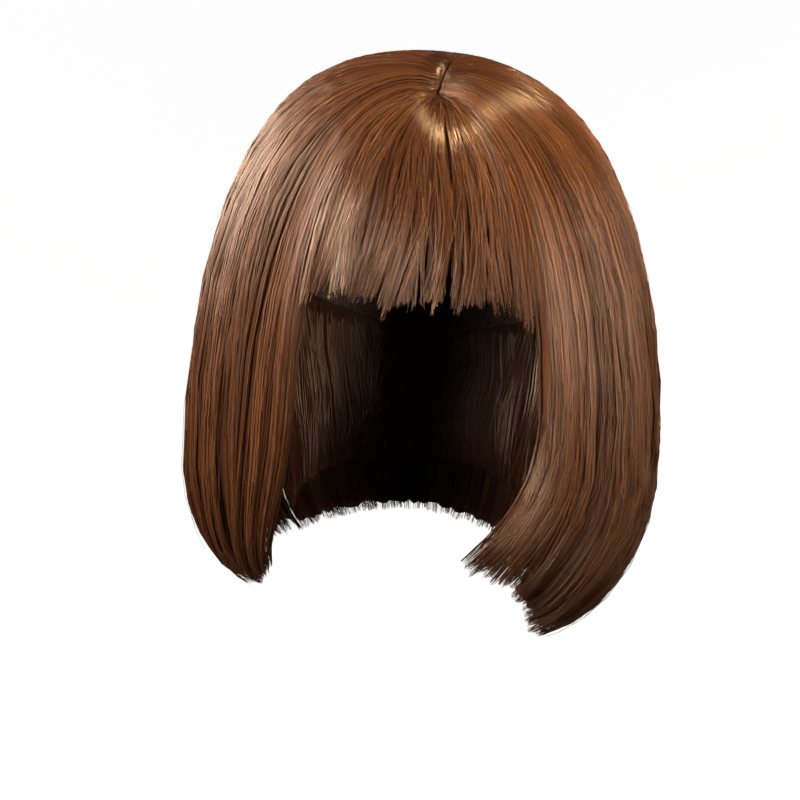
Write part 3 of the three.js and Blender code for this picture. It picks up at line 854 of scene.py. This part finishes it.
class WigStage(bpy.types.PropertyGroup):
    """The floor, the lights and the camera"""

    floor_drop: FloatProperty(
        name="Floor Drop", description="Floor below the longest tips", default=0.3, unit="LENGTH"
    )
    floor_colour: FloatVectorProperty(
        name="Floor Colour", description="Colour of the floor", subtype="COLOR",
        default=(0.95, 0.95, 0.95),
    )
    camera_azimuth: FloatProperty(
        name="Camera Azimuth", description="Round the wig from its face", default=math.radians(5),
        subtype="ANGLE",
    )
    camera_elevation: FloatProperty(
        name="Camera Elevation", description="Above the level", default=math.radians(17),
        subtype="ANGLE",
    )
    camera_roll: FloatProperty(
        name="Camera Roll", description="How far the wig leans in the picture",
        default=math.radians(2.9), subtype="ANGLE",
    )
    camera_distance: FloatProperty(
        name="Camera Distance", description="From the eyes' level", default=1.8, unit="LENGTH"
    )
    floor_glow: FloatProperty(
        name="Floor Glow", description="Light that the floor gives", default=0.85
    )
    daylight: FloatProperty(name="Daylight", description="Even light from above", default=0.12)
    key_power: FloatProperty(name="Key Power", description="Softbox at the front left", default=9)
    left_power: FloatProperty(name="Left Power", description="Softbox at the left side", default=6)
    right_power: FloatProperty(
        name="Right Power", description="Softbox at the front right", default=5
    )
    rim_power: FloatProperty(
        name="Rim Power", description="Warm softbox above the right side", default=2
    )


class WIG_OT_hair_sections(bpy.types.Operator):
    """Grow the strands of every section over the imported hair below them"""

    bl_idname = "wig.hair_sections"
    bl_label = "Hair Sections"

    def execute(self, context):
        settings = context.scene.wig_hair
        fibre = hair_material(settings)
        packed = under_material(settings)
        for section in SECTIONS:
            strands = section_strands(section, settings)
            piece = grown_strands(section.node + "_strands", strands, settings, fibre)
            under = under_hair(section, packed)
            for part in (piece, under):
                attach(part, "root")
                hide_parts(section.node)
        return {"FINISHED"}


class WIG_OT_cap(bpy.types.Operator):
    """Finish the cap and the strip at the bottom of the parting"""

    bl_idname = "wig.cap"
    bl_label = "Cap"

    def execute(self, context):
        settings = context.scene.wig_cap
        finishes = {"wig_cap": net_material(settings), "parting_strip": parting_material(settings)}
        for node, material in finishes.items():
            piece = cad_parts[node]
            for slot in piece.material_slots:
                slot.material = material
        return {"FINISHED"}


# The softboxes have grids that narrow their light, and face the upper half of the wig. The rim
# light is narrower, and lights the wearer's left alone.
LIT_POINT = Vector((0, 0, -0.02))
SOFTBOX_SPREAD = math.radians(38)
RIM_POINT = Vector((0.13, 0.01, -0.06))
RIM_SPREAD = math.radians(9)
WORLD_STRENGTH = 0.11
FLOOR_HALF = 8


def softbox(place, size, power, colour, spread=SOFTBOX_SPREAD, aim=LIT_POINT):
    """A soft rectangle of light that faces the wig from this azimuth, elevation and distance."""
    name, azimuth, elevation, distance = place
    light = bpy.data.lights.new(name, "AREA")
    light.shape = "RECTANGLE"
    light.size, light.size_y = size
    light.energy = power
    light.color = colour
    light.spread = spread
    turn, height = math.radians(azimuth), math.radians(elevation)
    level = math.cos(height)
    away = Vector((math.sin(turn) * level, -math.cos(turn) * level, math.sin(height)))
    lamp = bpy.data.objects.new(name, light)
    lamp.location = aim + away * distance
    lamp.rotation_euler = (-away).to_track_quat("-Z", "Y").to_euler()
    bpy.context.scene.collection.objects.link(lamp)
    return lamp


def sun_light(name, place, strength, angle, colour):
    """An even soft light that comes from the direction of this place."""
    light = bpy.data.lights.new(name, "SUN")
    light.energy = strength
    light.angle = angle
    light.color = colour
    lamp = bpy.data.objects.new(name, light)
    lamp.location = place
    lamp.rotation_euler = (-Vector(place)).to_track_quat("-Z", "Y").to_euler()
    bpy.context.scene.collection.objects.link(lamp)
    return lamp


# Where the camera sees the point between the eyes, in a picture of 800 by 800 pixels
SIGHT_POINT = Vector((0, -0.085, -0.11))
SIGHT_PIXEL = (408, 342)
PICTURE = 800
PIXEL_AT_EYES = 0.000525
SENSOR = 36


def photo_camera(settings):
    azimuth, elevation = settings.camera_azimuth, settings.camera_elevation
    roll, distance = settings.camera_roll, settings.camera_distance
    level = math.cos(elevation)
    back = Vector((math.sin(azimuth) * level, -math.cos(azimuth) * level, math.sin(elevation)))
    plain_right = Vector((math.cos(azimuth), math.sin(azimuth), 0))
    plain_up = back.cross(plain_right)
    right = plain_right * math.cos(roll) + plain_up * math.sin(roll)
    up = plain_up * math.cos(roll) - plain_right * math.sin(roll)
    half = PICTURE / 2
    aside = (half - SIGHT_PIXEL[0]) * PIXEL_AT_EYES
    above = (SIGHT_PIXEL[1] - half) * PIXEL_AT_EYES
    place = SIGHT_POINT + right * aside + up * above + back * distance
    camera = bpy.data.cameras.new("camera")
    camera.sensor_width = SENSOR
    camera.lens = SENSOR * distance / (PICTURE * PIXEL_AT_EYES)
    camera.clip_end = 50
    stand = bpy.data.objects.new("camera", camera)
    stand.matrix_world = Matrix.Translation(place) @ Matrix((right, up, back)).transposed().to_4x4()
    bpy.context.scene.collection.objects.link(stand)
    bpy.context.scene.camera = stand


class WIG_OT_stage(bpy.types.Operator):
    """Set the pale floor, the soft lights and the camera"""

    bl_idname = "wig.stage"
    bl_label = "Stage"

    def execute(self, context):
        settings = context.scene.wig_stage
        lowest = cad_box[0][2] - settings.floor_drop
        mesh = bpy.data.meshes.new("floor")
        sides = ((-1, -1), (1, -1), (1, 1), (-1, 1))
        corners = [(x * FLOOR_HALF, y * FLOOR_HALF, lowest) for x, y in sides]
        mesh.from_pydata(corners, [], [(0, 1, 2, 3)])
        material, _, shader = new_material("pale floor")
        shader.inputs["Base Color"].default_value = (*settings.floor_colour, 1)
        shader.inputs["Roughness"].default_value = 0.9
        shader.inputs["Emission Color"].default_value = (1, 1, 1, 1)
        shader.inputs["Emission Strength"].default_value = settings.floor_glow
        mesh.materials.append(material)
        floor = bpy.data.objects.new("floor", mesh)
        context.scene.collection.objects.link(floor)
        floor.visible_glossy = False
        floor.visible_diffuse = False
        sun_light("daylight", (-0.6, -0.9, 1.6), settings.daylight, 0.5, (1, 0.98, 0.97))
        softbox(("key", -38, 10, 1.6), (1.1, 0.6), settings.key_power, (1, 0.91, 0.85))
        softbox(("left", -82, 9, 1.5), (0.6, 1), settings.left_power, (1, 0.9, 0.82))
        softbox(("right", 40, -3, 1.8), (0.5, 0.8), settings.right_power, (1, 0.92, 0.85))
        softbox(
            ("rim", 92, 60, 1.4), (0.24, 0.24), settings.rim_power, (1, 0.78, 0.46), RIM_SPREAD,
            RIM_POINT,
        )
        world = bpy.data.worlds.new("studio")
        world.use_nodes = True
        background = world.node_tree.nodes["Background"]
        background.inputs["Color"].default_value = (1, 1, 1, 1)
        background.inputs["Strength"].default_value = WORLD_STRENGTH
        context.scene.world = world
        context.scene.view_settings.view_transform = "Standard"
        photo_camera(settings)
        return {"FINISHED"}


class WIG_PT_panel(bpy.types.Panel):
    """The wig's pieces and stage, in the sidebar"""

    bl_idname = "WIG_PT_panel"
    bl_label = "Bob Wig"
    bl_space_type = "VIEW_3D"
    bl_region_type = "UI"
    bl_category = "Bob Wig"

    def draw(self, context):
        layout = self.layout
        for group in (context.scene.wig_hair, context.scene.wig_cap, context.scene.wig_stage):
            for label in group.bl_rna.properties.keys():
                if label not in ("rna_type", "name"):
                    layout.prop(group, label)
        for operator in OPERATORS:
            layout.operator(operator.bl_idname)


OPERATORS = (WIG_OT_stage, WIG_OT_cap, WIG_OT_hair_sections)
CLASSES = (WigHair, WigCap, WigStage, *OPERATORS, WIG_PT_panel)
GROUPS = {"wig_hair": WigHair, "wig_cap": WigCap, "wig_stage": WigStage}


def register():
    for entry in CLASSES:
        bpy.utils.register_class(entry)
    for label, group in GROUPS.items():
        setattr(bpy.types.Scene, label, PointerProperty(type=group))


def unregister():
    for label in GROUPS:
        delattr(bpy.types.Scene, label)
    for entry in reversed(CLASSES):
        bpy.utils.unregister_class(entry)


def main():
    register()
    bpy.ops.wig.stage()
    bpy.ops.wig.cap()
    bpy.ops.wig.hair_sections()


if __name__ == "__main__":
    main()
